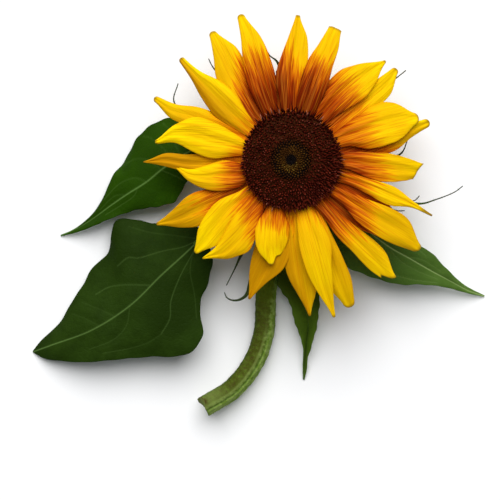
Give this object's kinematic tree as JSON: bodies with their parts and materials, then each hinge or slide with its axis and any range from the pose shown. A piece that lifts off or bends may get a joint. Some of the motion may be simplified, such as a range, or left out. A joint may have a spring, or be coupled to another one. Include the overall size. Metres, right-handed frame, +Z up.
{
  "type": "cut sunflower",
  "caption": "Cut sunflower lying face up: bloom with yellow and rust ray florets on a dark disc, bent ribbed stem and leaves spread beneath.",
  "frame": {"origin": "centre of the flower's box, on the surface that it lies on", "axes": "+Z up along the head's axis, out of its face; +Y away from the stem's cut end, towards the top of the bloom; +X towards the right leaf"},
  "size_m": [0.2352, 0.2038, 0.0513],
  "materials": {
    "stem_skin": "satin, ribbed and finely bristled",
    "bract_green": "satin, finely hairy",
    "petal": "soft satin, rust-orange at the root",
    "disc": "matt, densely pointed",
    "bud": "matt, densely pointed",
    "leaf_green": "satin with pale veins",
    "leaf_dark": "satin with pale veins"
  },
  "bodies": {
    "root": {"stem": "stem_skin", "receptacle": "bract_green", "ray_florets": "petal", "disc_florets": "disc", "centre_buds": "bud", "leaf_upper_left": "leaf_green", "leaf_lower_left": "leaf_dark", "leaf_lower": "leaf_dark", "leaf_right": "leaf_green"}
  },
  "joints": []
}
